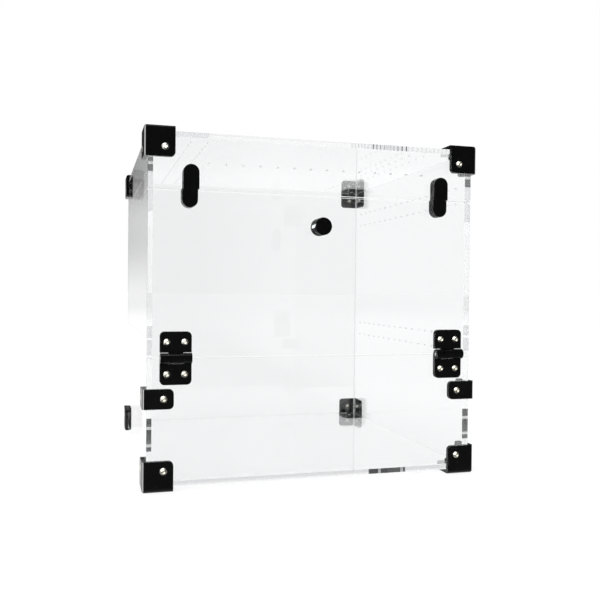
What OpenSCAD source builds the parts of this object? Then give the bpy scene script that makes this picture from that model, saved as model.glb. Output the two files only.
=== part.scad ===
// Clear acrylic insect enclosure with a drop-down front door, black corner
// brackets, two butt hinges and two magnetic catches.
// Millimetres, +Z up. The door faces -Y. The origin is the centre of the
// footprint, on the surface that the enclosure stands on.

/* [Box] */
// Width of the acrylic box, side to side
box_w = 302.2; // [220:0.1:450]
// Depth of the acrylic box, front to back
box_d = 302.2; // [160:0.1:450]
// Height of the acrylic box
box_h = 302.2; // [260:0.1:450]
// Thickness of the acrylic sheet
sheet_t = 4.5; // [3:0.1:6]

/* [Front] */
// Height from the underside of the box to the hinge line of the door
lower_front_h = 109.7; // [80:0.1:130]
// Height of the fixed header strip above the door
header_h = 49.5; // [42:0.1:80]
// Gap above and below the door
door_end_gap = 1.5; // [1.5:0.1:3]

/* [Vents] */
// Diameter of a vent hole
vent_d = 1.8; // [1:0.1:4]
// Spacing of the vent holes along the side walls and the top
vent_pitch = 15.9; // [10:0.1:30]
// Distance between the two rows of a pair
vent_row_gap = 15.1; // [8:0.1:25]
// Least distance from the first and last hole of a row to the box's front and back
vent_inset = 22.7; // [10:0.1:60]
// Height of the lower pair's lower row above the underside of the box
vent_mid_h = 111.4; // [60:0.1:150]
// Depth of the upper pair's upper row below the top of the box
vent_top_drop = 33.2; // [20:0.1:60]
// Distance of the top's outer row from the side of the box
vent_roof_inset = 38.7; // [28:0.1:60]
// Spacing of the vent holes in the header
header_vent_pitch = 15.4; // [10:0.1:30]
// Least distance from the header's first and last hole to the side of the box
header_vent_inset = 49.7; // [46:0.1:80]
// Depth of the header's vent row below the top of the box
header_vent_drop = 26; // [12:0.1:36]

/* [Corner brackets] */
// Thickness of a bracket's plates
bracket_t = 3.8; // [2.5:0.1:5]
// Radius of a bracket's outer edges
bracket_fold_r = 2.5; // [0.5:0.1:2.5]
// Length of a bracket's plates beyond the edge of the box
bracket_l = 22.5; // [20:0.1:36]
// Radius of a plate's free corner
bracket_corner_r = 4; // [1:0.1:8]
// Distance of a bracket's screws from the edges of the box
bracket_hole_in = 14.1; // [13:0.1:17]

/* [Side brackets] */
// Height of a side bracket's plates
side_bracket_h = 17; // [12:0.1:22]
// Distance of a side bracket's middle below the hinge line
side_bracket_drop = 34.6; // [34:0.1:42]

/* [Hinges] */
// Width of a hinge
hinge_w = 26.8; // [22:0.1:40]
// Height of an opened hinge, from end to end
hinge_h = 45.2; // [42:0.1:50]
// Thickness of a hinge leaf
leaf_t = 4; // [2.5:0.1:4.2]
// Diameter of the hinge barrel
barrel_d = 9; // [7:0.1:9]
// Radius of a leaf's free corners
leaf_corner_r = 4; // [1:0.1:6]
// Width of the middle knuckle, which is part of the door's leaf
mid_knuckle_w = 12.6; // [8:0.1:16]
// Distance of the hinge's middle from the side of the box
hinge_inset = 23.9; // [22:0.1:50]
// Distance of the hinge axis in front of the box
hinge_axis_out = 4.9; // [4.8:0.1:6]
// Diameter of the hinge pin
pin_d = 3; // [2:0.1:4]
// Screw spacing across a leaf
hinge_screw_x = 15; // [12:0.1:16]
// Screw spacing from leaf to leaf
hinge_screw_z = 27.2; // [26:0.1:30]

/* [Catches] */
// Width of a catch
catch_w = 13.6; // [11:0.1:20]
// Height of the half on the header
catch_header_h = 20.9; // [14:0.1:24]
// Height of the half on the door
catch_door_h = 15.5; // [13:0.1:24]
// Thickness of a catch
catch_t = 9.5; // [7:0.1:12]
// Radius of a catch's front edge
catch_edge_r = 1; // [0.4:0.1:2]
// Distance of a catch's middle from the side of the box
catch_inset = 35.4; // [34:0.1:60]
// Offset of the door's catch halves to the left of the header's
catch_door_shift = 1.1; // [0:0.1:3]
// Width of a catch magnet
magnet_w = 9; // [4:0.1:9]
// Thickness of a catch magnet
magnet_t = 4; // [2:0.1:5]
// Length of a catch magnet, into its housing
magnet_l = 6; // [3:0.1:8]

/* [Knob] */
// Diameter of the door knob
knob_d = 15.6; // [10:0.1:30]
// Length of the door knob
knob_l = 14.6; // [10.5:0.1:25]
// Diameter of the knob's waist
knob_waist_d = 13.8; // [8:0.1:14]
// Distance of the knob's middle below the header
knob_drop = 28.1; // [18:0.1:60]

/* [Fasteners] */
// Diameter of a screw's shank
screw_d = 2.9; // [2:0.1:3]
// Diameter of a screw's head
head_d = 6; // [4:0.1:6.4]
// Height of a screw's domed head
head_h = 1.8; // [1:0.1:2.4]
// Width of a nut across its flats
nut_af = 5.5; // [5:0.1:6.5]
// Thickness of a nut
nut_t = 2.4; // [1.5:0.1:3]
// Length of a screw beyond its nut
screw_tail = 1.1; // [0.5:0.1:3]

/* [Clearances] */
// Gap left where a clamped piece meets a sheet, and between the edges of the sheets
fit_gap = 0.05; // [0.02:0.01:0.2]
// Radial clearance of a screw in the parts that it clamps
screw_clear = 0.15; // [0.1:0.01:0.4]
// Radial clearance of a screw in its nut and of a pin in the fixed leaf
snug_clear = 0.03; // [0.01:0.01:0.05]
// Radial running clearance of a pin in the door's leaf
pin_clear = 0.06; // [0.02:0.01:0.1]
// Gap between neighbouring knuckles
knuckle_gap = 0.3; // [0.3:0.1:0.6]
// Gap between a knuckle and the other leaf
leaf_gap = 0.3; // [0.2:0.1:1]
// Gap between the two halves of a catch
catch_gap = 0.25; // [0.2:0.05:1]
// Clearance round a magnet in its housing
magnet_clear = 0.1; // [0.05:0.01:0.2]

/* [Hidden] */
$fn = 64;
// Outer surfaces of the acrylic box
left_x = -box_w / 2;
right_x = box_w / 2;
base_z = bracket_t;
top_z = base_z + box_h;
back_reach = bracket_t + head_h;
front_y = (knob_l + fit_gap - back_reach - box_d) / 2;
back_y = front_y + box_d;
// Lines that divide the front
hinge_z = base_z + lower_front_h;
split_z = top_z - header_h;
axis_y = front_y - hinge_axis_out;
door_bottom_z = hinge_z + door_end_gap / 2;
door_top_z = split_z - door_end_gap / 2;
// Room for the side walls between the front and the back, and for the upright sheets between floor and top
inner_front = front_y + sheet_t + fit_gap;
inner_back = back_y - sheet_t - fit_gap;
inner_bottom = base_z + sheet_t + fit_gap;
inner_top = top_z - sheet_t - fit_gap;
// Reach past a face that a cutting solid needs to cut cleanly
cut = 1;
// Distance of a nut's free face from the outside of the sheet that it clamps
nut_face = sheet_t + fit_gap + nut_t;
socket_af = 2.3;
socket_depth = 1;
flat_head_h = (head_d - screw_d) / 2;
barrel_r = barrel_d / 2;
leaf_back = hinge_axis_out - fit_gap;
catch_r = catch_w / 2;
side_z = hinge_z - side_bracket_drop;
// Distance of the centre of a bracket's outer edges from the edges of the box, and plate length from there
fold_in = bracket_t - bracket_fold_r;
bracket_reach = bracket_l + fold_in;
knob_z = split_z - knob_drop;
knob_flange_l = 2.2;
knob_edge_r = 1.2;
knob_screw_in = 8;
magnet_recess = 0.2;
magnet_y = catch_t / 2;
acrylic = [0.86, 0.93, 0.96, 0.35];
black = [0.09, 0.09, 0.1];
steel = [0.78, 0.78, 0.8];

// Number of holes that fit in a row of the given length
function row_count(length, inset, pitch) = floor((length - 2 * inset) / pitch) + 1;

// Places along a row, centred on zero
function row_places(length, inset, pitch) =
    let (n = row_count(length, inset, pitch))
    [for (i = [0 : n - 1]) (i - (n - 1) / 2) * pitch];

function side_vent_heights() = [
    base_z + vent_mid_h,
    base_z + vent_mid_h + vent_row_gap,
    top_z - vent_top_drop - vent_row_gap,
    top_z - vent_top_drop
];

// Places its children at a corner of the box, drawn for the front left bottom
// corner with the box in the positive octant
module at_corner(right, back, top) {
    translate([right ? right_x : left_x, back ? back_y : front_y, top ? top_z : base_z])
        mirror([right ? 1 : 0, 0, 0])
        mirror([0, back ? 1 : 0, 0])
        mirror([0, 0, top ? 1 : 0])
        children();
}

// Repeats its children at all eight corners
module at_all_corners() {
    for (right = [false, true], back = [false, true], top = [false, true])
        at_corner(right, back, top) children();
}

// Places its children at one end of the hinge line, with the axis as origin
module at_hinge(right) {
    translate([right ? right_x - hinge_inset : left_x + hinge_inset, axis_y, hinge_z]) children();
}

// Places its children at a side bracket, drawn for the left one
module at_side_bracket(right) {
    translate([right ? right_x : left_x, front_y, side_z])
        mirror([right ? 1 : 0, 0, 0])
        children();
}

// Turns a fastener that points up so that it points to the front or to the left
module facing_front() {
    rotate([90, 0, 0]) children();
}

module facing_left() {
    rotate([0, -90, 0]) children();
}

// Hole through a sheet of the given thickness that starts at z = 0
module through_hole(d, t) {
    translate([0, 0, -cut]) cylinder(d = d, h = t + 2 * cut);
}

module screw_hole(t) {
    through_hole(screw_d + 2 * screw_clear, t);
}

// Domed screw: its seat is at z = 0, its head is above and its shank below
module dome_screw(shank_l) {
    dome_r = (pow(head_d / 2, 2) + pow(head_h, 2)) / (2 * head_h);
    color(steel) difference() {
        union() {
            intersection() {
                translate([0, 0, head_h - dome_r]) sphere(r = dome_r);
                cylinder(d = head_d, h = head_h);
            }
            translate([0, 0, -shank_l]) cylinder(d = screw_d, h = shank_l + head_h / 2);
        }
        translate([0, 0, head_h - socket_depth])
            cylinder(d = socket_af / cos(30), h = socket_depth + cut, $fn = 6);
    }
}

// Countersunk screw: its flat top is at z = 0
module flat_screw(shank_l) {
    color(steel) difference() {
        union() {
            translate([0, 0, -flat_head_h])
                cylinder(d1 = screw_d, d2 = head_d, h = flat_head_h);
            translate([0, 0, -shank_l]) cylinder(d = screw_d, h = shank_l - flat_head_h / 2);
        }
        translate([0, 0, -socket_depth])
            cylinder(d = socket_af / cos(30), h = socket_depth + cut, $fn = 6);
    }
}

// Hexagonal nut that stands on z = 0
module nut() {
    color(steel) difference() {
        cylinder(d = nut_af / cos(30), h = nut_t, $fn = 6);
        through_hole(screw_d + 2 * snug_clear, nut_t);
    }
}

// Square plate outline with its far corner rounded, from the centre of the bracket's outer edges
module bracket_plate() {
    straight_l = bracket_reach - bracket_corner_r;
    square([bracket_reach, straight_l]);
    square([straight_l, bracket_reach]);
    translate([straight_l, straight_l]) circle(r = bracket_corner_r);
}

// Moves its children to the centre of a bracket's rounded outer edges
module from_fold(corner) {
    translate([-fold_in, -fold_in, corner ? -fold_in : 0]) children();
}

// Three plates round a corner of the box, blended along their shared edges
module corner_bracket() {
    color(black) difference() {
        from_fold(true) {
            translate([0, 0, -bracket_fold_r]) linear_extrude(bracket_t) bracket_plate();
            translate([0, fold_in, 0]) rotate([90, 0, 0]) linear_extrude(bracket_t) bracket_plate();
            translate([-bracket_fold_r, 0, 0]) rotate([90, 0, 90])
                linear_extrude(bracket_t) bracket_plate();
            cylinder(r = bracket_fold_r, h = bracket_reach);
            rotate([0, 90, 0]) cylinder(r = bracket_fold_r, h = bracket_reach);
            rotate([-90, 0, 0]) cylinder(r = bracket_fold_r, h = bracket_reach);
            sphere(r = bracket_fold_r);
        }
        translate([-fit_gap, -fit_gap, -fit_gap]) cube(bracket_l + cut);
        translate([bracket_hole_in, 0, bracket_hole_in]) facing_front() screw_hole(bracket_t);
        translate([-bracket_t, bracket_hole_in, bracket_hole_in]) rotate([0, 90, 0]) countersunk_hole();
        translate([bracket_hole_in, bracket_hole_in, -bracket_t]) countersunk_hole();
    }
}

// Screw hole of a bracket with the seat of a countersunk head, sunk upwards from z = 0
module countersunk_hole() {
    wide_d = head_d + 2 * screw_clear;
    narrow_d = screw_d + 2 * screw_clear;
    screw_hole(bracket_t);
    cylinder(d1 = wide_d, d2 = narrow_d, h = (wide_d - narrow_d) / 2);
}

// Holes that the three screws of a corner need in the acrylic
module corner_sheet_holes() {
    translate([bracket_hole_in, sheet_t, bracket_hole_in]) facing_front() screw_hole(sheet_t);
    translate([sheet_t, bracket_hole_in, bracket_hole_in]) facing_left() screw_hole(sheet_t);
    translate([bracket_hole_in, bracket_hole_in, 0]) screw_hole(sheet_t);
}

// Outline of one plate of a side bracket, with both free corners rounded
module side_plate() {
    r = min(bracket_corner_r, side_bracket_h / 2 - 0.5);
    translate([0, -side_bracket_h / 2]) square([bracket_reach - r, side_bracket_h]);
    translate([0, r - side_bracket_h / 2]) square([bracket_reach, side_bracket_h - 2 * r]);
    for (side = [-1, 1])
        translate([bracket_reach - r, side * (side_bracket_h / 2 - r)]) circle(r = r);
}

// Two plates round a vertical edge of the box
module side_bracket() {
    color(black) difference() {
        from_fold(false) {
            translate([0, fold_in, 0]) rotate([90, 0, 0]) linear_extrude(bracket_t) side_plate();
            translate([-bracket_fold_r, 0, 0]) rotate([90, 0, 90]) linear_extrude(bracket_t) side_plate();
            translate([0, 0, -side_bracket_h / 2]) cylinder(r = bracket_fold_r, h = side_bracket_h);
        }
        translate([-fit_gap, -fit_gap, -side_bracket_h])
            cube([bracket_l + cut, bracket_l + cut, 2 * side_bracket_h]);
        translate([bracket_hole_in, 0, 0]) facing_front() screw_hole(bracket_t);
        translate([-bracket_t, bracket_hole_in, 0]) rotate([0, 90, 0]) countersunk_hole();
    }
}

module side_bracket_sheet_holes() {
    translate([bracket_hole_in, sheet_t, 0]) facing_front() screw_hole(sheet_t);
    translate([sheet_t, bracket_hole_in, 0]) facing_left() screw_hole(sheet_t);
}

// Vent holes of a side wall, drawn for a sheet between x = 0 and x = sheet_t
module side_vents() {
    for (z = side_vent_heights(), y = row_places(box_d, vent_inset, vent_pitch))
        translate([0, front_y + box_d / 2 + y, z]) rotate([0, 90, 0]) through_hole(vent_d, sheet_t);
}

module floor_panel() {
    color(acrylic) difference() {
        translate([left_x, front_y, base_z]) cube([box_w, box_d, sheet_t]);
        at_all_corners() corner_sheet_holes();
    }
}

module top_panel() {
    color(acrylic) difference() {
        translate([left_x, front_y, top_z - sheet_t]) cube([box_w, box_d, sheet_t]);
        at_all_corners() corner_sheet_holes();
        for (side = [-1, 1], row = [0, 1], y = row_places(box_d, vent_inset, vent_pitch))
            translate([side * (right_x - vent_roof_inset - row * vent_row_gap),
                front_y + box_d / 2 + y, top_z - sheet_t])
                through_hole(vent_d, sheet_t);
    }
}

// Side wall for x from 0 to sheet_t
module side_wall() {
    translate([0, inner_front, inner_bottom])
        cube([sheet_t, inner_back - inner_front, inner_top - inner_bottom]);
}

module left_panel() {
    color(acrylic) difference() {
        translate([left_x, 0, 0]) side_wall();
        translate([left_x, 0, 0]) side_vents();
        at_all_corners() corner_sheet_holes();
        at_side_bracket(false) side_bracket_sheet_holes();
    }
}

module right_panel() {
    color(acrylic) difference() {
        translate([right_x - sheet_t, 0, 0]) side_wall();
        translate([right_x - sheet_t, 0, 0]) side_vents();
        at_all_corners() corner_sheet_holes();
        at_side_bracket(true) side_bracket_sheet_holes();
    }
}

module back_panel() {
    color(acrylic) difference() {
        translate([left_x, back_y - sheet_t, inner_bottom])
            cube([box_w, sheet_t, inner_top - inner_bottom]);
        at_all_corners() corner_sheet_holes();
    }
}

module header_panel() {
    bottom_z = split_z + door_end_gap / 2;
    color(acrylic) difference() {
        translate([left_x, front_y, bottom_z])
            cube([box_w, sheet_t, inner_top - bottom_z]);
        at_all_corners() corner_sheet_holes();
        for (x = row_places(box_w, header_vent_inset, header_vent_pitch))
            translate([x, front_y + sheet_t, top_z - header_vent_drop])
                facing_front() through_hole(vent_d, sheet_t);
    }
}

module lower_front_panel() {
    color(acrylic) difference() {
        translate([left_x, front_y, inner_bottom])
            cube([box_w, sheet_t, hinge_z - door_end_gap / 2 - inner_bottom]);
        at_all_corners() corner_sheet_holes();
        for (right = [false, true]) {
            at_side_bracket(right) side_bracket_sheet_holes();
            hinge_sheet_holes(right, -1);
        }
    }
}

// The door closes against the front edges of the side walls
module door_panel() {
    color(acrylic) difference() {
        translate([left_x, front_y, door_bottom_z])
            cube([box_w, sheet_t, door_top_z - door_bottom_z]);
        for (right = [false, true]) hinge_sheet_holes(right, 1);
        translate([0, front_y + sheet_t, knob_z]) facing_front() screw_hole(sheet_t);
    }
}

// Places its children at the two screws of a leaf: level is 1 on the door, -1 below it
module at_leaf_screws(right, level) {
    at_hinge(right)
        for (side = [-1, 1])
            translate([side * hinge_screw_x / 2, 0, level * hinge_screw_z / 2]) children();
}

module hinge_sheet_holes(right, level) {
    at_leaf_screws(right, level)
        translate([0, hinge_axis_out + sheet_t, 0]) facing_front() screw_hole(sheet_t);
}

// Flat part of a leaf below the axis, with rounded free corners and its screw holes
module leaf_plate() {
    plate_h = hinge_h / 2 - barrel_r - leaf_gap;
    r = min(leaf_corner_r, plate_h / 2);
    difference() {
        translate([0, leaf_back, -hinge_h / 2]) rotate([90, 0, 0]) linear_extrude(leaf_t - fit_gap) {
            translate([-hinge_w / 2, r]) square([hinge_w, plate_h - r]);
            translate([r - hinge_w / 2, 0]) square([hinge_w - 2 * r, plate_h]);
            for (side = [-1, 1])
                translate([side * (hinge_w / 2 - r), r]) circle(r = r);
        }
        for (side = [-1, 1])
            translate([side * hinge_screw_x / 2, hinge_axis_out, -hinge_screw_z / 2])
                facing_front() screw_hole(leaf_t);
    }
}

// Knuckle from x0 to x1 with the web that joins it to a leaf below the axis
module knuckle(x0, x1) {
    translate([x0, 0, 0]) rotate([0, 90, 0]) cylinder(d = barrel_d, h = x1 - x0);
    translate([x0, hinge_axis_out - leaf_t, -barrel_r - leaf_gap])
        cube([x1 - x0, leaf_t - fit_gap, barrel_r + leaf_gap]);
}

// Leaf screwed to the lower front panel, with the two outer knuckles
module fixed_leaf(right) {
    inner_x = mid_knuckle_w / 2 + knuckle_gap;
    color(black) at_hinge(right) difference() {
        union() {
            leaf_plate();
            knuckle(-hinge_w / 2, -inner_x);
            knuckle(inner_x, hinge_w / 2);
        }
        translate([-hinge_w / 2, 0, 0]) rotate([0, 90, 0])
            through_hole(pin_d + 2 * snug_clear, hinge_w);
    }
}

// Leaf screwed to the door, with the middle knuckle
module door_leaf(right) {
    color(black) at_hinge(right) difference() {
        mirror([0, 0, 1]) union() {
            leaf_plate();
            knuckle(-mid_knuckle_w / 2, mid_knuckle_w / 2);
        }
        translate([-hinge_w / 2, 0, 0]) rotate([0, 90, 0])
            through_hole(pin_d + 2 * pin_clear, hinge_w);
    }
}

module hinge_pin(right) {
    color(steel) at_hinge(right) translate([-hinge_w / 2, 0, 0]) rotate([0, 90, 0])
        cylinder(d = pin_d, h = hinge_w);
}

module hinge_screws(level) {
    shank_l = leaf_t + nut_face + screw_tail;
    for (right = [false, true])
        at_leaf_screws(right, level)
            translate([0, hinge_axis_out - leaf_t, 0]) facing_front() dome_screw(shank_l);
}

module hinge_nuts(level) {
    for (right = [false, true])
        at_leaf_screws(right, level)
            translate([0, hinge_axis_out + nut_face, 0]) facing_front() nut();
}

// Half of the cross-section of a catch, from its middle to its side
module catch_profile() {
    square([catch_r - catch_edge_r, catch_t]);
    square([catch_r, catch_t - catch_edge_r]);
    translate([catch_r - catch_edge_r, catch_t - catch_edge_r]) circle(r = catch_edge_r);
}

// Catch half that stands on its mating face at z = 0, with its back at y = 0
module catch_half(half_h) {
    straight_h = half_h - catch_r;
    color(black) difference() {
        union() {
            for (side = [0, 1])
                mirror([side, 0, 0]) mirror([0, 1, 0]) linear_extrude(straight_h) catch_profile();
            translate([0, 0, straight_h]) rotate([90, 0, 0]) rotate_extrude() catch_profile();
        }
        translate([-magnet_w / 2 - magnet_clear, -magnet_y - magnet_t / 2 - magnet_clear, -cut])
            cube([magnet_w + 2 * magnet_clear, magnet_t + 2 * magnet_clear,
                magnet_l + magnet_recess + magnet_clear + cut]);
    }
}

// Magnet of a catch half that stands on z = 0
module catch_magnet() {
    color(steel) translate([-magnet_w / 2, -magnet_y - magnet_t / 2, magnet_recess])
        cube([magnet_w, magnet_t, magnet_l]);
}

module at_header_catch(right) {
    translate([right ? right_x - catch_inset : left_x + catch_inset, front_y - fit_gap,
        split_z + catch_gap / 2])
        children();
}

module at_door_catch(right) {
    translate([(right ? right_x - catch_inset : left_x + catch_inset) - catch_door_shift,
        front_y - fit_gap, split_z - catch_gap / 2])
        mirror([0, 0, 1]) children();
}

module header_magnets() {
    for (right = [false, true]) at_header_catch(right) catch_magnet();
}

module door_magnets() {
    for (right = [false, true]) at_door_catch(right) catch_magnet();
}

// Knob that stands on z = 0, turned about the Z axis
module knob_body() {
    knob_r = knob_d / 2;
    waist_r = min(knob_waist_d / 2, knob_r);
    color(black) difference() {
        rotate_extrude() {
            square([waist_r, knob_l - knob_edge_r]);
            square([knob_r, knob_flange_l]);
            translate([0, 2 * knob_flange_l]) square([knob_r, knob_l - 2 * knob_flange_l - knob_edge_r]);
            square([knob_r - knob_edge_r, knob_l]);
            translate([knob_r - knob_edge_r, knob_l - knob_edge_r]) circle(r = knob_edge_r);
        }
        translate([0, 0, -cut])
            cylinder(d = screw_d + 2 * snug_clear, h = knob_screw_in + snug_clear + cut);
    }
}

module door_knob() {
    translate([0, front_y - fit_gap, knob_z]) facing_front() knob_body();
}

module knob_screw() {
    translate([0, front_y + sheet_t + fit_gap, knob_z]) rotate([-90, 0, 0])
        dome_screw(sheet_t + knob_screw_in);
}

module wall_screws() {
    shank_l = bracket_t + nut_face + screw_tail;
    at_all_corners() {
        translate([bracket_hole_in, -bracket_t, bracket_hole_in]) facing_front() dome_screw(shank_l);
        translate([-bracket_t, bracket_hole_in, bracket_hole_in]) facing_left() flat_screw(shank_l);
    }
}

module wall_nuts() {
    at_all_corners() {
        translate([bracket_hole_in, nut_face, bracket_hole_in]) facing_front() nut();
        translate([nut_face, bracket_hole_in, bracket_hole_in]) facing_left() nut();
    }
}

module base_and_top_screws() {
    at_all_corners()
        translate([bracket_hole_in, bracket_hole_in, -bracket_t]) mirror([0, 0, 1])
            flat_screw(bracket_t + nut_face + screw_tail);
}

module base_and_top_nuts() {
    at_all_corners() translate([bracket_hole_in, bracket_hole_in, sheet_t + fit_gap]) nut();
}

module side_bracket_screws() {
    shank_l = bracket_t + nut_face + screw_tail;
    for (right = [false, true]) at_side_bracket(right) {
        translate([bracket_hole_in, -bracket_t, 0]) facing_front() dome_screw(shank_l);
        translate([-bracket_t, bracket_hole_in, 0]) facing_left() flat_screw(shank_l);
    }
}

module side_bracket_nuts() {
    for (right = [false, true]) at_side_bracket(right) {
        translate([bracket_hole_in, nut_face, 0]) facing_front() nut();
        translate([nut_face, bracket_hole_in, 0]) facing_left() nut();
    }
}

floor_panel();
top_panel();
left_panel();
right_panel();
back_panel();
header_panel();
lower_front_panel();
door_panel();
at_corner(false, false, false) corner_bracket();  // bracket_front_left_bottom
at_corner(true, false, false) corner_bracket();  // bracket_front_right_bottom
at_corner(false, true, false) corner_bracket();  // bracket_back_left_bottom
at_corner(true, true, false) corner_bracket();  // bracket_back_right_bottom
at_corner(false, false, true) corner_bracket();  // bracket_front_left_top
at_corner(true, false, true) corner_bracket();  // bracket_front_right_top
at_corner(false, true, true) corner_bracket();  // bracket_back_left_top
at_corner(true, true, true) corner_bracket();  // bracket_back_right_top
at_side_bracket(false) side_bracket();  // side_bracket_left
at_side_bracket(true) side_bracket();  // side_bracket_right
wall_screws();  // bracket_wall_screws
wall_nuts();  // bracket_wall_nuts
base_and_top_screws();
base_and_top_nuts();
side_bracket_screws();
side_bracket_nuts();
fixed_leaf(false);  // hinge_fixed_leaf_left
fixed_leaf(true);  // hinge_fixed_leaf_right
door_leaf(false);  // hinge_door_leaf_left
door_leaf(true);  // hinge_door_leaf_right
hinge_pin(false);  // hinge_pin_left
hinge_pin(true);  // hinge_pin_right
hinge_screws(-1);  // hinge_fixed_screws
hinge_nuts(-1);  // hinge_fixed_nuts
hinge_screws(1);  // hinge_door_screws
hinge_nuts(1);  // hinge_door_nuts
at_header_catch(false) catch_half(catch_header_h);  // catch_header_left
at_header_catch(true) catch_half(catch_header_h);  // catch_header_right
at_door_catch(false) catch_half(catch_door_h);  // catch_door_left
at_door_catch(true) catch_half(catch_door_h);  // catch_door_right
header_magnets();
door_magnets();
door_knob();
knob_screw();
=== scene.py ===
import math

import bpy
import numpy as np
from mathutils import Matrix, Vector


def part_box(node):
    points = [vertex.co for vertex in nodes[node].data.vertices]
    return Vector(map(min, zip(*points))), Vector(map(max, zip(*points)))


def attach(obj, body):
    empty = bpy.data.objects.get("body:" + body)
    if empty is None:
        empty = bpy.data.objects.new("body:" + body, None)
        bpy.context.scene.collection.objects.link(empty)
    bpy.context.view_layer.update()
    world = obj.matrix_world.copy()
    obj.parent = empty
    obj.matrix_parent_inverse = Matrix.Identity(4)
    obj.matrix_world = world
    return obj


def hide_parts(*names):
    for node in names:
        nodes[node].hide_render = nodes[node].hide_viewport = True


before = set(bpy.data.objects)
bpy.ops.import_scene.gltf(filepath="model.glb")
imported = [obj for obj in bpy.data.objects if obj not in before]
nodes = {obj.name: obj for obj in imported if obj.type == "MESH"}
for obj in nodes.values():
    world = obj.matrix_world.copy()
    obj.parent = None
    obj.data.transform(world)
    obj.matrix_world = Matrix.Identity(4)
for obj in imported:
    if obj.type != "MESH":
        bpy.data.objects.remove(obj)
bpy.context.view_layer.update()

mm = 0.001
print("frame loaded with", len(nodes), "nodes")


# Shader wiring

class Wire:
    # One output of a shader node. Arithmetic on it adds Math nodes, so 1 - mask is a Wire too
    def __init__(self, tree, socket=None):
        self.tree = tree
        self.socket = socket

    def add(self, kind, sockets=None, output=0, **settings):
        # Any other node. Its settings go first, because they decide which sockets it shows
        node = self.tree.nodes.new("ShaderNode" + kind)
        for name, value in settings.items():
            setattr(node, name, value)
        for key, value in (sockets or {}).items():
            if isinstance(value, Wire):
                self.tree.links.new(value.socket, node.inputs[key])
            else:
                node.inputs[key].default_value = value
        return Wire(self.tree, node.outputs[output] if node.outputs else None)

    def out(self, name):
        # Another output of the same node
        return Wire(self.tree, self.socket.node.outputs[name])

    def maths(self, operation, *terms):
        return self.add("Math", dict(enumerate(terms)), operation=operation)

    def __add__(self, other):
        return self.maths("ADD", self, other)

    def __mul__(self, other):
        return self.maths("MULTIPLY", self, other)

    def __sub__(self, other):
        return self.maths("SUBTRACT", self, other)

    def __rsub__(self, other):
        return self.maths("SUBTRACT", other, self)

    def __gt__(self, other):
        return self.maths("GREATER_THAN", self, other)

    def __lt__(self, other):
        return self.maths("LESS_THAN", self, other)

    def __abs__(self):
        return self.maths("ABSOLUTE", self)

    __radd__ = __add__
    __rmul__ = __mul__

    def scaled(self, factors):
        return self.add("VectorMath", {0: self, 1: factors}, operation="MULTIPLY")

    def noise(self, scale, detail):
        return self.add("TexNoise", {"Vector": self, "Scale": scale, "Detail": detail})

    def fade(self, ends):
        # A smooth step from 0 to 1 between two values
        return self.add("MapRange", {"Value": self, "From Min": ends[0], "From Max": ends[1]},
                        interpolation_type="SMOOTHSTEP")

    def blended(self, low, high):
        # A colour between two others, with this wire as the factor
        return self.add("Mix", {0: self, 6: low, 7: high}, output=2, data_type="RGBA")


def grey(tone):
    return (tone, tone, tone, 1)


def newMaterial(name):
    # An empty material, the wire that its nodes start from, and the place on the object in metres
    material = bpy.data.materials.new(name)
    material.use_nodes = True
    material.node_tree.nodes.clear()
    start = Wire(material.node_tree)
    return material, start, start.add("TexCoord", output="Object")


def finishMaterial(start, shader):
    start.add("OutputMaterial", {"Surface": shader})


# Camera: measured against the photograph, 600 pixels square

cameraLook = {
    "place": (-48.211, -618.884, 167.966),  # mm from the lower front left corner of the acrylic
    "yaw": 15.6191,      # degrees to the right of straight ahead
    "pitch": -0.6736,    # degrees above level
    "roll": -0.5117,     # degrees about the line of sight
    "focalPixels": 724.089,
    "centrePixel": (290.025, 298.920),
    "framePixels": 600,
    "sensor": 36.0,      # mm
    "reach": (0.01, 100.0),
}


def makeCamera(look):
    # View axes from yaw and pitch, then turned about the line of sight by the roll
    yaw, pitch, roll = (math.radians(look[key]) for key in ("yaw", "pitch", "roll"))
    forward = Vector((math.sin(yaw) * math.cos(pitch), math.cos(yaw) * math.cos(pitch), math.sin(pitch)))
    level = Vector((math.cos(yaw), -math.sin(yaw), 0))
    down = forward.cross(level)
    right = level * math.cos(roll) + down * math.sin(roll)
    up = level * math.sin(roll) - down * math.cos(roll)
    camera = bpy.data.objects.new("camera", bpy.data.cameras.new("camera"))
    bpy.context.scene.collection.objects.link(camera)
    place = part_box("floor_panel")[0] + Vector(look["place"]) * mm
    turned = Matrix((right, up, -forward)).transposed().to_4x4()
    camera.matrix_world = Matrix.Translation(place) @ turned
    size = look["framePixels"]
    camera.data.sensor_width = look["sensor"]
    camera.data.lens = look["focalPixels"] / size * look["sensor"]
    camera.data.shift_x = (size / 2 - look["centrePixel"][0]) / size
    camera.data.shift_y = (look["centrePixel"][1] - size / 2) / size
    camera.data.clip_start, camera.data.clip_end = look["reach"]
    bpy.context.scene.camera = camera


makeCamera(cameraLook)
print("camera ready")


# Studio: white surroundings, a pale floor and four soft lamps

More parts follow.
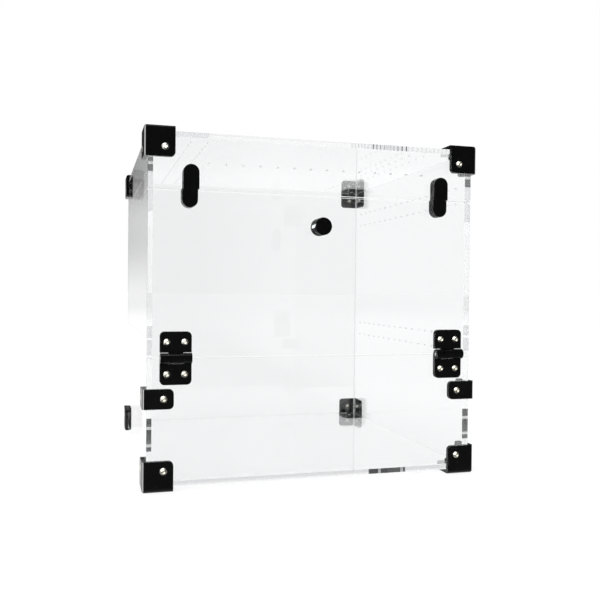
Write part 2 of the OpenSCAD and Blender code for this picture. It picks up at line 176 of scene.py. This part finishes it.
studioLook = {
    "ambient": 1.0,                     # light on matt surfaces
    "seen": 0.985,                      # what shows through the acrylic
    "seenTop": 0.89,                    # and through the top sheet
    "seenTopFade": (0.15, 0.175),       # rise of the line of sight where that begins
    "mirrorLow": 0.88,                  # what gloss mirrors at and below the horizon
    "mirrorHigh": 0.5,                  # a little above it
    "mirrorTop": 0.08,                  # and higher up
    "horizonFade": (-0.02, 0.07),
    "topFade": (0.09, 0.17),
    "mirrorFront": 0.07,                # share of that on the camera's side of the room
    "frontFade": (-0.6, 0.3),
    "rightShare": 0.55,                 # the camera's side is paler again to the right, through acrylic
    "rightFade": (0.1, 0.3),            # by direction
    "rightFloorFade": (0.15, 0.35),     # and by x, m
    "frostGain": 0.4,                   # extra light for frosted walls and edges
    "deepGain": 0.085,                  # extra light for every face of acrylic passed beyond the first few
    "plainFaces": 4.0,                  # and the number of those
    "floorTone": 0.86,
    "floorReach": 30.0,                 # m
    "floorGlow": 0.7,                   # share of the floor's look that is its own glow
    "mirroredGlow": 0.96,               # the same in a mirrored view
    "glow": 1.1,                        # strength of that glow
    "floorFade": (1.5, 7.0),            # distances between which a mirrored floor grows dimmer
    "farFloor": 0.8,
    "frontFloor": 0.04,                 # mirrored floor on the camera's side
    "frontFloorFade": (-0.165, -0.145),  # y, m
    "leftFloorFade": (-0.2, -0.05),     # x - y, m
    "seenFloor": 0.93,                  # how much of the glow shows through the acrylic, near the part
    "seenFarFloor": 0.98,               # and far away
    "seenFade": (0.3, 3.0),
    "bounces": 96,                      # a line of sight along the inside of a sheet needs many
    "clearBounces": 32,
}


def deepGain(rays, look):
    # Rays along the inside of a sheet pass more faces than those straight through the part
    faces = rays.out("Transmission Depth") - look["plainFaces"]
    return 1 + look["deepGain"] * rays.maths("MAXIMUM", faces, 0.0)


def deeperThan(rays, kind):
    # 1 for rays that met that kind of surface at least once
    return rays.out(kind + " Depth") > 0.5


def makeWorld(look):
    # White behind and through the acrylic. Whatever is mirrored comes from a dimmer room, darker
    # higher up and on the camera's side
    world = bpy.data.worlds.new("studio")
    bpy.context.scene.world = world
    world.use_nodes = True
    world.node_tree.nodes.clear()
    start = Wire(world.node_tree)
    way = start.add("SeparateXYZ", {0: start.add("TexCoord", output="Generated")})
    rise = way.out("Z")
    rays = start.add("LightPath", output="Is Camera Ray")
    through = rays.out("Is Transmission Ray")
    mirrored = deeperThan(rays, "Glossy")
    matt = deeperThan(rays, "Diffuse")
    raised = rise.fade(look["horizonFade"])
    overhead = rise.fade(look["topFade"])
    behind = way.out("Y").fade(look["frontFade"])
    turned = look["mirrorFront"] + behind * (1 - look["mirrorFront"])
    rightward = start.maths("MAXIMUM", turned, way.fade(look["rightFade"]) * look["rightShare"])
    mirror = look["mirrorLow"] + raised * (look["mirrorHigh"] - look["mirrorLow"])
    mirror = mirror + overhead * (look["mirrorTop"] - look["mirrorHigh"])
    top = rise.fade(look["seenTopFade"]) * (1 - mirrored)
    seen = look["seen"] + top * (look["seenTop"] - look["seen"])
    throughTone = seen * deepGain(rays, look) * (1 - mirrored + mirrored * rightward)
    away = through * throughTone + (1 - through) * mirror * turned
    away = matt * look["ambient"] * (1 + through * look["frostGain"]) + (1 - matt) * away
    strength = rays + (1 - rays) * away
    shade = start.add("Background", {"Color": grey(1), "Strength": strength})
    start.add("OutputWorld", {"Surface": shade})


def makeFloor(look):
    # A plain square far larger than the view. The acrylic and the black parts see it a little dimmer
    # far away, and much dimmer on the camera's side
    mesh = bpy.data.meshes.new("floor")
    corners = np.array([(-1, -1, 0), (1, -1, 0), (1, 1, 0), (-1, 1, 0)]) * look["floorReach"]
    mesh.from_pydata(corners.tolist(), [], [(0, 1, 2, 3)])
    floor = bpy.data.objects.new("floor", mesh)
    bpy.context.scene.collection.objects.link(floor)
    material, start, place = newMaterial("paleFloor")
    rays = start.add("LightPath", output="Is Camera Ray")
    through = rays.out("Is Transmission Ray")
    scattered = deeperThan(rays, "Diffuse")
    mirrored = deeperThan(rays, "Glossy") * (1 - scattered)
    distance = start.add("VectorMath", {0: place}, output="Value", operation="LENGTH")
    sideways = start.add("SeparateXYZ", {0: place})
    depth = sideways.out("Y")

    # Dim in front of the part, less so on its left and, through acrylic, on its right
    rightward = start.maths("DIVIDE", sideways, distance).fade(look["rightFade"])
    rightward = rightward * sideways.fade(look["rightFloorFade"])
    beside = 1 - (sideways - depth).fade(look["leftFloorFade"])
    beside = start.maths("MAXIMUM", beside, through * look["rightShare"] * rightward)
    behind = start.maths("MAXIMUM", depth.fade(look["frontFloorFade"]), beside)
    turned = look["frontFloor"] + behind * (1 - look["frontFloor"])
    far = distance.fade(look["floorFade"])
    dimmed = 1 - mirrored * (1 - turned * (1 - far * (1 - look["farFloor"])))

    distant = distance.fade(look["seenFade"])
    seenShare = look["seenFloor"] + distant * (look["seenFarFloor"] - look["seenFloor"])
    seen = 1 - through * (1 - seenShare * deepGain(rays, look) - scattered * look["frostGain"])
    glow = start.add("Emission", {"Color": grey(1), "Strength": look["glow"] * dimmed * seen})
    matt = start.add("BsdfDiffuse", {"Color": grey(look["floorTone"])})
    shown = start.maths("MAXIMUM", rays, start.maths("MAXIMUM", rays.out("Is Glossy Ray"), through))
    share = look["floorGlow"] + mirrored * (look["mirroredGlow"] - look["floorGlow"])
    finishMaterial(start, start.add("MixShader", {0: shown * share, 1: matt, 2: glow}))
    mesh.materials.append(material)


lampLook = {
    "overhead": {"place": (-0.5, -0.3, 1.7), "aim": (0, 0, 0.15), "size": (1.4, 1.0), "power": 9.0},
    "frontStrip": {"place": (-1.3, -1.25, 0.75), "aim": (-0.15, -0.15, 0.15), "size": (0.5, 1.3),
                   "power": 5.0},
    "knobStrip": {"place": (-0.66, 1.92, 0.41), "aim": (0, -0.16, 0.23), "size": (0.3, 0.4),
                  "power": 26.0},
    "frontSoftbox": {"place": (-0.8, -1.6, 1.3), "aim": (0, -0.15, 0.15), "size": (3.8, 3.2),
                     "power": 125.0},
}


def makeLamp(name, look):
    lamp = bpy.data.lights.new(name, "AREA")
    lamp.shape = "RECTANGLE"
    lamp.size, lamp.size_y = look["size"]
    lamp.energy = look["power"]
    lampObject = bpy.data.objects.new(name, lamp)
    bpy.context.scene.collection.objects.link(lampObject)
    lampObject.location = look["place"]
    aim = Vector(look["aim"]) - Vector(look["place"])
    lampObject.rotation_mode = "QUATERNION"
    lampObject.rotation_quaternion = aim.to_track_quat("-Z", "Y")
    lampObject.visible_camera = False
    lampObject.visible_transmission = False
    # The knob's strip is found by shadow rays alone: the acrylic before it would dim its reflection
    lamp.cycles.use_multiple_importance_sampling = name != "knobStrip"
    return lampObject


makeWorld(studioLook)
makeFloor(studioLook)
lamps = {name: makeLamp(name, look) for name, look in lampLook.items()}
cycles = bpy.context.scene.cycles
cycles.max_bounces = cycles.transmission_bounces = cycles.glossy_bounces = studioLook["bounces"]
cycles.transparent_max_bounces = studioLook["clearBounces"]
bpy.context.scene.view_settings.view_transform = "Standard"
print("studio ready")


# Clear acrylic sheets

acrylicLook = {
    "tint": (0.993, 0.997, 0.999, 1),
    "index": 1.49,
    "lampTint": (0.9, 0.92, 0.92, 1),   # of a lamp's light behind a sheet
    "drilledRoughness": 0.42,           # walls of the vent and screw holes
    "drilledFrost": 0.92,               # how white those walls are, partly frosted and partly painted glow
    "sawnRoughness": 0.02,              # cut edges of the sheets
    "sawnFrost": 0.07,                  # how white those edges are, partly frosted and partly painted glow
    "slantedFrost": 0.95,               # and the same under a slanting look
    "slant": (0.3, 0.6),
    "frostAndGlowTone": (0.985, 0.99, 1.0, 1),
    "paintedGlowShare": 0.5,                   # share of that white which is painted glow, an emission standing in for the light the walls and edges catch
    "lineTint": (0.66, 0.66, 0.68, 1),  # grey line along the floor's front edge
    "lineFade": (0.1, 0.45),            # heights in the edge between which it begins
    "edgeBand": 0.3 * mm,               # a wall this near to a sheet's outline is a sawn edge
    "smearRoughness": 0.012,            # wiping marks on the faces
    "smearNoise": (14.0, 4.0),          # scale and detail
    "smearStretch": (1, 1, 0.35),
    "smearMiddle": 0.45,
    "ridge": 0.0006 * mm,               # saw marks on the edges
    "ridgeNoise": (1.0, 1.0),
    "ridgeStretch": 1800.0,
    "ridgeStretchAcross": 60.0,         # through the thickness of the sheet
}
sheetAxes = {
    "X": ("left_panel", "right_panel"),
    "Y": ("back_panel", "header_panel", "lower_front_panel", "door_panel"),
    "Z": ("floor_panel", "top_panel"),
}
greyLinedSheet = "floor_panel"


def acrylicMaterial(sheetName, axis, look):
    # Polished faces with faint wiping marks. A wall whose normal lies across the sheet is a sawn edge if
    # it is on the outline of the sheet, and otherwise the frosted wall of a drilled hole
    # Those walls and edges are whitened by a mix of frost and painted glow. The sawn edges whiten further
    # under a slanting look
    titled = "".join(part.title() for part in sheetName.split("_"))
    material, start, place = newMaterial("clearAcrylic" + titled)
    normal = start.add("TexCoord", output="Normal")
    cut = abs(start.add("SeparateXYZ", {0: normal}, output=axis)) < 0.5
    low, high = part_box(sheetName)
    parts = start.add("SeparateXYZ", {0: place})
    within = 1.0
    for number, letter in enumerate("XYZ"):
        if letter != axis:
            middle = (low[number] + high[number]) / 2
            reach = (high[number] - low[number]) / 2 - look["edgeBand"]
            within = (abs(parts.out(letter) - middle) < reach) * within
    drilled = cut * within
    sawn = cut * (1 - within)

    smear = place.scaled(look["smearStretch"]).noise(*look["smearNoise"])
    roughness = drilled * look["drilledRoughness"] + sawn * look["sawnRoughness"]
    roughness = roughness + (1 - cut) * (smear - look["smearMiddle"]) * look["smearRoughness"]
    along = [look["ridgeStretch"]] * 3
    along["XYZ".index(axis)] = look["ridgeStretchAcross"]
    ridges = place.scaled(along).noise(*look["ridgeNoise"]) * sawn
    bump = start.add("Bump", {"Height": ridges, "Distance": look["ridge"], "Strength": 1.0})
    tint = look["tint"]
    if sheetName == greyLinedSheet:
        front = parts.out("Y") < low[1] + look["edgeBand"]
        ends = [low[2] + share * (high[2] - low[2]) for share in look["lineFade"]]
        tint = (front * parts.out("Z").fade(ends)).blended(tint, look["lineTint"])
    clear = start.add("BsdfPrincipled", {
        "Base Color": tint, "Roughness": roughness, "IOR": look["index"],
        "Transmission Weight": 1.0, "Normal": bump,
    })

    # Painted glow: an emission on the frosted walls and edges that stands in for the light they catch
    glow = start.add("Emission", {"Color": look["frostAndGlowTone"], "Strength": 1.0})
    frostAndPaintedGlow = start.add("BsdfTranslucent", {"Color": look["frostAndGlowTone"]})
    frostAndPaintedGlow = start.add("MixShader", {0: look["paintedGlowShare"], 1: frostAndPaintedGlow, 2: glow})
    facing = start.add("LayerWeight", {"Blend": 0.5}, output="Facing")
    slanting = (facing > look["slant"][0]) * (facing < look["slant"][1])
    sawnFrost = look["sawnFrost"] + slanting * (look["slantedFrost"] - look["sawnFrost"])
    frostAndGlowShare = drilled * look["drilledFrost"] + sawn * sawnFrost
    clear = start.add("MixShader", {0: frostAndGlowShare, 1: clear, 2: frostAndPaintedGlow})
    passing = start.add("BsdfTransparent", {"Color": look["lampTint"]})
    rays = start.add("LightPath", output="Is Shadow Ray")
    finishMaterial(start, start.add("MixShader", {0: rays, 1: clear, 2: passing}))
    return material


def dress(node, material):
    for slot in node.material_slots:
        slot.material = material


for axis, sheetNames in sheetAxes.items():
    for sheetName in sheetNames:
        dress(nodes[sheetName], acrylicMaterial(sheetName, axis, acrylicLook))
print("acrylic ready")


# Black mouldings and metal

plasticLook = {
    # The fold tone is the colour of a painted highlight along upright folds
    "bracketBlack": {"tone": 0.0035, "variation": 0.35, "roughness": 0.16, "spread": 0.1,
                     "grain": 0.012 * mm, "specular": 0.45, "matt": 0.3, "foldHighlightTone": 0.45},
    "hingeBlack": {"tone": 0.0035, "variation": 0.35, "roughness": 0.2, "spread": 0.1,
                   "grain": 0.012 * mm, "specular": 0.4, "matt": 0.3, "foldHighlightTone": 0.0035},
    "knobBlack": {"tone": 0.003, "variation": 0.3, "roughness": 0.1, "spread": 0.06,
                  "grain": 0.006 * mm, "specular": 0.45, "matt": 0.72, "foldHighlightTone": 0.003},
}
mouldedLook = {
    "index": 1.5,
    "flowNoise": (60.0, 3.0),  # slow changes of tone and gloss: scale and detail
    "blueness": 1.1,          # of the paler parts of those
    "grainNoise": (5200.0, 2.0),
    "grainStrength": 0.6,
    "dustNoise": (1400.0, 1.0),
    "dustFrom": 0.76,         # noise above this is a speck of dust
    "dustShare": 0.35,
    "dustTone": (0.05, 0.05, 0.052, 1),
    "dustRoughness": 0.15,
    "foldSide": 0.48,         # where a fold's normal has at least these shares sideways and forwards, it gets the painted highlight
    "foldFront": 0.6,
}
metalLook = {
    "screwSteel": {"tone": (0.87, 0.855, 0.75), "roughness": 0.34, "spread": 0.1},
    "nutSteel": {"tone": (0.42, 0.42, 0.41), "roughness": 0.22, "spread": 0.1},
    "blackSteel": {"tone": (0.03, 0.03, 0.032), "roughness": 0.3, "spread": 0.1},
    "pinSteel": {"tone": (0.6, 0.6, 0.61), "roughness": 0.2, "spread": 0.1},
    "magnetNickel": {"tone": (0.68, 0.67, 0.65), "roughness": 0.14, "spread": 0.08},
}
platedLook = {
    "cloudNoise": (420.0, 3.0),  # scale and detail
    "cloudTone": 0.86,        # share of the tone in a cloud's darkest part
    "scratchNoise": (1500.0, 1.0),
    "scratchStretch": (1.0, 6.0, 6.0),
    "scratchRoughness": 0.05,
    "scratchDepth": 0.01 * mm,
    "scratchStrength": 0.4,
}


def plasticMaterial(name, look, common):
    # Moulded plastic: fine grain in the height, slow changes of gloss, a few paler specks of dust. An upright
    # fold is painted paler where its normal points between two sides: a painted highlight for the light the
    # fold would catch
    material, start, place = newMaterial(name)
    flow = place.noise(*common["flowNoise"])
    grain = place.noise(*common["grainNoise"])
    dust = place.noise(*common["dustNoise"]) > common["dustFrom"]
    low = look["tone"] * (1 - look["variation"])
    high = look["tone"] * (1 + look["variation"])
    base = flow.blended(grey(low), (high, high, high * common["blueness"], 1))
    base = (dust * common["dustShare"]).blended(base, common["dustTone"])
    way = start.add("SeparateXYZ", {0: start.add("TexCoord", output="Normal")})
    # Painted highlight: upright folds are painted paler where they would catch the light
    paintedFoldHighlight = (abs(way) > common["foldSide"]) * (abs(way.out("Y")) > common["foldFront"])
    base = paintedFoldHighlight.blended(base, grey(look["foldHighlightTone"]))
    roughness = look["roughness"] + (flow - 0.5) * look["spread"] + dust * common["dustRoughness"]
    bump = start.add("Bump", {
        "Height": grain, "Distance": look["grain"], "Strength": common["grainStrength"],
    })
    glossy = start.add("BsdfPrincipled", {
        "Base Color": base, "Roughness": roughness, "IOR": common["index"],
        "Specular IOR Level": look["specular"], "Normal": bump,
    })
    matt = start.add("BsdfDiffuse", {"Color": base})
    finishMaterial(start, start.add("MixShader", {0: look["matt"], 1: glossy, 2: matt}))
    return material


def metalMaterial(name, look, common):
    # Plated metal: bright, with clouded gloss and fine turning marks
    material, start, place = newMaterial(name)
    cloud = place.noise(*common["cloudNoise"])
    scratch = place.scaled(common["scratchStretch"]).noise(*common["scratchNoise"])
    tone = look["tone"]
    base = cloud.blended(tuple(common["cloudTone"] * part for part in tone) + (1,), tone + (1,))
    roughness = look["roughness"] + (cloud - 0.5) * look["spread"] + scratch * common["scratchRoughness"]
    bump = start.add("Bump", {
        "Height": scratch, "Distance": common["scratchDepth"], "Strength": common["scratchStrength"],
    })
    finishMaterial(start, start.add("BsdfPrincipled", {
        "Base Color": base, "Metallic": 1.0, "Roughness": roughness, "Normal": bump,
    }))
    return material


materials = {name: plasticMaterial(name, look, mouldedLook) for name, look in plasticLook.items()}
materials.update({name: metalMaterial(name, look, platedLook) for name, look in metalLook.items()})
mouldings = {
    "bracketBlack": [name for name in nodes if "bracket" in name and not name.endswith(("_screws", "_nuts"))],
    "hingeBlack": [name for name in nodes if "_leaf_" in name or name.startswith("catch_")],
    "knobBlack": ["door_knob"],
    "pinSteel": ["hinge_pin_left", "hinge_pin_right"],
    "magnetNickel": ["header_magnets", "door_magnets"],
}
for materialName, nodeNames in mouldings.items():
    for nodeName in nodeNames:
        dress(nodes[nodeName], materials[materialName])
print("mouldings ready")


# Screws and nuts: turned and rolled shapes that stand for the plain fasteners of the frame

screwLook = {
    "headRadius": 3.0 * mm,
    "headHeight": 1.8 * mm,
    "flatHeadHeight": 1.55 * mm,
    "rim": 0.15 * mm,
    "domeRows": 11,
    "socketFlats": 2.3 * mm,
    "socketCorner": 1.16,     # a corner's distance from the middle, over half the width across flats
    "socketDepth": 1.0 * mm,
    "socketBevel": 0.12 * mm,
    "floorBevel": 0.1 * mm,
    "floorShares": (0.3, 0.92),
    "shankRadius": 1.45 * mm,
    "threadDepth": 0.25 * mm,
    "threadPitch": 0.5 * mm,
    "rowsPerTurn": 6,
    "tipBevel": 0.4 * mm,
    "sides": 36,
    "sharp": 32,              # degrees
    "seed": 7,
}
nutLook = {
    "flats": 5.5 * mm,
    "height": 2.4 * mm,
    "boreRadius": 1.48 * mm,
    "boreBevel": 0.3 * mm,
    "faceShare": 0.98,        # radius of the cone at a face, over half the flats
    "slope": 1.7,
    "rows": (0.0, 0.06, 0.13, 0.22, 0.5, 0.78, 0.87, 0.94, 1.0),
    "sides": 48,
}


def hexRadius(angle, flats):
    # Distance from the middle of a hexagon to its side: half the width across flats over the cosine of
    # the angle to the middle of that side
    side = np.mod(angle, math.radians(60)) - math.radians(30)
    return flats / 2 / np.cos(side)


def socketBrim(look):
    return look["socketFlats"] / 2 * look["socketCorner"] + look["socketBevel"]


def domedHead(look):
    # Rows of (radius, height) from the socket's brim over the dome to the shank. The dome is a sphere
    # through the rim and the crown
    ball = (look["headRadius"] ** 2 + look["headHeight"] ** 2) / (2 * look["headHeight"])
    radius = np.linspace(socketBrim(look), look["headRadius"], look["domeRows"])
    height = look["headHeight"] - ball + np.sqrt(ball ** 2 - radius ** 2)
    height[-1] = look["rim"]
    return np.append(radius, look["headRadius"] - look["rim"]), np.append(height, 0.0)


def flatHead(look):
    # A flat top with a narrow rim and a cone down to the shank
    rim, outer = look["rim"], look["headRadius"]
    radius = np.array([socketBrim(look), outer - rim, outer, look["shankRadius"]])
    return radius, np.array([0.0, 0.0, -rim / 2, -look["flatHeadHeight"]])


def gridFaces(rows, sides, closed):
    # Quads between neighbouring rows of a turned surface. A closed one joins its last row to its first,
    # any other ends in a fan at either end
    row, side = np.meshgrid(np.arange(rows if closed else rows - 1), np.arange(sides), indexing="ij")
    near, far = row * sides, (row + 1) % rows * sides
    beside = (side + 1) % sides
    quads = np.stack((near + side, near + beside, far + beside, far + side), -1)
    faces = quads.reshape(-1, 4).tolist()
    if not closed:
        faces.append(list(range(sides))[::-1])
        faces.append([(rows - 1) * sides + number for number in range(sides)])
    return faces


def screwSurface(look, head, length):
    # Around the axis, angle t and height z: in the socket the radius is that of a hexagon, on the head it
    # follows the profile, and on the thread it is the shank's radius less the thread's depth times a
    # triangle wave of z / pitch + t / full turn
    angle = np.linspace(0, 2 * math.pi, look["sides"], endpoint=False)
    radii, heights = head(look)
    socket = hexRadius(angle, look["socketFlats"])
    socketFloor = heights.max() - look["socketDepth"]
    inner, outer = look["floorShares"]
    rows = [(socket * inner, socketFloor), (socket * outer, socketFloor),
            (socket, socketFloor + look["floorBevel"]), (socket, heights[0] - look["socketBevel"]),
            *zip(radii, heights)]
    begin, end = heights[-1], look["tipBevel"] - length
    count = max(3, int((begin - end) / look["threadPitch"] * look["rowsPerTurn"]))
    for height in np.linspace(begin, end, count):
        wave = np.mod(height / look["threadPitch"] + angle / (2 * math.pi), 1.0)
        groove = look["threadDepth"] * (1 - abs(2 * wave - 1))
        rows.append((look["shankRadius"] - groove, height))
    rows.append((look["shankRadius"] - look["tipBevel"], -length))
    radius, height = (np.array([part * np.ones_like(angle) for part in parts]) for parts in zip(*rows))
    points = np.stack((radius * np.cos(angle), radius * np.sin(angle), height), -1)
    return points.reshape(-1, 3), gridFaces(len(rows), look["sides"], False)


def nutSurface(look):
    # A hexagon whose corners are cut by a cone at both faces: the radius is the lesser of the hexagon's and
    # half the flats plus slope times the distance from the face. The bore has a bevel at either end
    angle = np.linspace(0, 2 * math.pi, look["sides"], endpoint=False)
    depth = np.array(look["rows"]) * look["height"]
    nearest = np.minimum(depth, look["height"] - depth)[:, None]
    cone = look["flats"] / 2 * look["faceShare"] + look["slope"] * nearest
    outer = np.minimum(hexRadius(angle, look["flats"]), cone)
    bore, bevel, height = look["boreRadius"], look["boreBevel"], look["height"]
    inner = np.array([bore + bevel, bore, bore, bore + bevel])[:, None] * np.ones_like(angle)
    radius = np.vstack((outer, inner))
    height = np.concatenate((depth, [height, height - bevel, bevel, 0.0]))[:, None] * np.ones_like(angle)
    points = np.stack((radius * np.cos(angle), radius * np.sin(angle), height), -1)
    return points.reshape(-1, 3), gridFaces(len(height), look["sides"], True)


fitLook = {
    "holeIn": 14.1 * mm,        # screws from the edges of the acrylic
    "plate": 3.8 * mm,          # thickness of a bracket's plates
    "gap": 0.05 * mm,           # under a nut
    "tail": 1.1 * mm,           # of a screw past its nut
    "hingeSpacing": 15.0 * mm,  # between the screws of a leaf
}
sideAxis, depthAxis, upAxis = range(3)
boxLow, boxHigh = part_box("floor_panel")[0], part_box("top_panel")[1]
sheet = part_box("floor_panel")[1][2] - boxLow[2]
nutSeat = sheet + fitLook["gap"]
wallLength = fitLook["plate"] + nutSeat + nutLook["height"] + fitLook["tail"]


def seatAt(axis, high, place, out):
    # A point that lies out from the acrylic's face on that side, and the direction away from the acrylic
    point = list(place)
    point[axis] = boxHigh[axis] + out if high else boxLow[axis] - out
    away = [0.0, 0.0, 0.0]
    away[axis] = 1.0 if high else -1.0
    return point, away


def cornerSeats(axes, out):
    # One seat a corner of the box and axis
    corners = [(x, y, z) for x in (0, 1) for y in (0, 1) for z in (0, 1)]
    inset = fitLook["holeIn"]
    ends = [(low + inset, high - inset) for low, high in zip(boxLow, boxHigh)]
    return [seatAt(axis, corner[axis], [end[high] for end, high in zip(ends, corner)], out)
            for corner in corners for axis in axes]


def sideBracketSeats(axis, out):
    # The side brackets' front plates, or their side plates
    inset = fitLook["holeIn"]
    low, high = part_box("side_bracket_left")
    height = (low[2] + high[2]) / 2
    if axis == depthAxis:
        return [seatAt(axis, 0, (x, 0, height), out) for x in (boxLow[0] + inset, boxHigh[0] - inset)]
    return [seatAt(axis, high, (0, boxLow[1] + inset, height), out) for high in (0, 1)]


def hingeSeats(node, depth, away):
    # Two screws a leaf, at the node's height
    low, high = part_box(node)
    seats = []
    for leaf in ("hinge_fixed_leaf_left", "hinge_fixed_leaf_right"):
        leafLow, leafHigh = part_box(leaf)
        for side in (-0.5, 0.5):
            place = (leafLow[0] + leafHigh[0]) / 2 + side * fitLook["hingeSpacing"]
            seats.append(((place, depth, (low[2] + high[2]) / 2), (0, away, 0)))
    return seats


def inward(seats):
    # The same places, facing into the box
    return [(point, [-part for part in away]) for point, away in seats]


def fastenerSet(node, groups, body, metal, random, look):
    # Every copy of each surface, its own axis turned to point away from its seat and given a random turn
    allPoints, allFaces = [], []
    for (points, faces), point, away in ((surface, *seat) for surface, seats in groups for seat in seats):
        turn = Vector((0, 0, 1)).rotation_difference(Vector(away)).to_matrix()
        turn = np.array(turn @ Matrix.Rotation(random.uniform(0, 2 * math.pi), 3, "Z"))
        first = sum(len(part) for part in allPoints)
        allPoints.append(points @ turn.T + np.array(point))
        allFaces += [[first + corner for corner in face] for face in faces]
    mesh = bpy.data.meshes.new(node + "_turned")
    mesh.from_pydata(np.vstack(allPoints).tolist(), [], allFaces)
    mesh.polygons.foreach_set("use_smooth", np.ones(len(allFaces), bool))
    mesh.set_sharp_from_angle(angle=math.radians(look["sharp"]))
    mesh.materials.append(materials[metal])
    piece = bpy.data.objects.new(node + "_turned", mesh)
    bpy.context.scene.collection.objects.link(piece)
    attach(piece, body)
    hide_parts(node)
    return piece


# Seats and lengths read from the frame
random = np.random.default_rng(screwLook["seed"])
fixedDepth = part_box("hinge_fixed_screws")[0][1] + screwLook["headHeight"]
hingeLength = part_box("hinge_fixed_screws")[1][1] - fixedDepth
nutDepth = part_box("hinge_fixed_nuts")[0][1]
knobLow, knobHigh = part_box("knob_screw")
knobMiddle = [(low + high) / 2 for low, high in zip(knobLow, knobHigh)]
knobSeat = (knobMiddle[0], knobHigh[1] - screwLook["headHeight"], knobMiddle[2])
domeScrew = screwSurface(screwLook, domedHead, wallLength)
flatScrew = screwSurface(screwLook, flatHead, wallLength)
hingeScrew = screwSurface(screwLook, domedHead, hingeLength)
nut = nutSurface(nutLook)
plate = fitLook["plate"]
knobScrew = screwSurface(screwLook, domedHead, knobSeat[1] - knobLow[1])
wallScrews = [(domeScrew, cornerSeats([depthAxis], plate)), (flatScrew, cornerSeats([sideAxis], plate))]
wallNuts = inward(cornerSeats([sideAxis, depthAxis], -nutSeat))
levelScrews = cornerSeats([upAxis], plate)
levelNuts = inward(cornerSeats([upAxis], -nutSeat))
sideScrews = [(domeScrew, sideBracketSeats(depthAxis, plate)), (flatScrew, sideBracketSeats(sideAxis, plate))]
sideNuts = inward(sideBracketSeats(depthAxis, -nutSeat) + sideBracketSeats(sideAxis, -nutSeat))
fixedScrews = hingeSeats("hinge_fixed_screws", fixedDepth, -1)
fixedNuts = hingeSeats("hinge_fixed_screws", nutDepth, 1)
doorScrews = hingeSeats("hinge_door_screws", fixedDepth, -1)
doorNuts = hingeSeats("hinge_door_screws", nutDepth, 1)
fasteners = [
    ("bracket_wall_screws", wallScrews, "box", "screwSteel"),
    ("bracket_wall_nuts", [(nut, wallNuts)], "box", "nutSteel"),
    ("base_and_top_screws", [(flatScrew, levelScrews)], "box", "blackSteel"),
    ("base_and_top_nuts", [(nut, levelNuts)], "box", "blackSteel"),
    ("side_bracket_screws", sideScrews, "box", "screwSteel"),
    ("side_bracket_nuts", [(nut, sideNuts)], "box", "nutSteel"),
    ("hinge_fixed_screws", [(hingeScrew, fixedScrews)], "box", "screwSteel"),
    ("hinge_fixed_nuts", [(nut, fixedNuts)], "box", "nutSteel"),
    ("hinge_door_screws", [(hingeScrew, doorScrews)], "door", "screwSteel"),
    ("hinge_door_nuts", [(nut, doorNuts)], "door", "nutSteel"),
    ("knob_screw", [(knobScrew, [(knobSeat, (0, 1, 0))])], "door", "screwSteel"),
]
turnedPieces = [fastenerSet(*fastener, random, screwLook) for fastener in fasteners]
print("fasteners ready:", len(turnedPieces), "sets")

# The front strip lights the brackets and the knob, the knob's strip only the knob, and the softbox only
# the fasteners
strippedPieces = [nodes[nodeName] for nodeName in mouldings["bracketBlack"] + mouldings["knobBlack"]]
for lampName, pieces in (("frontStrip", strippedPieces),
                         ("knobStrip", [nodes["door_knob"]]),
                         ("frontSoftbox", turnedPieces)):
    lit = bpy.data.collections.new(lampName + "Receivers")
    for piece in pieces:
        lit.objects.link(piece)
    lamps[lampName].light_linking.receiver_collection = lit
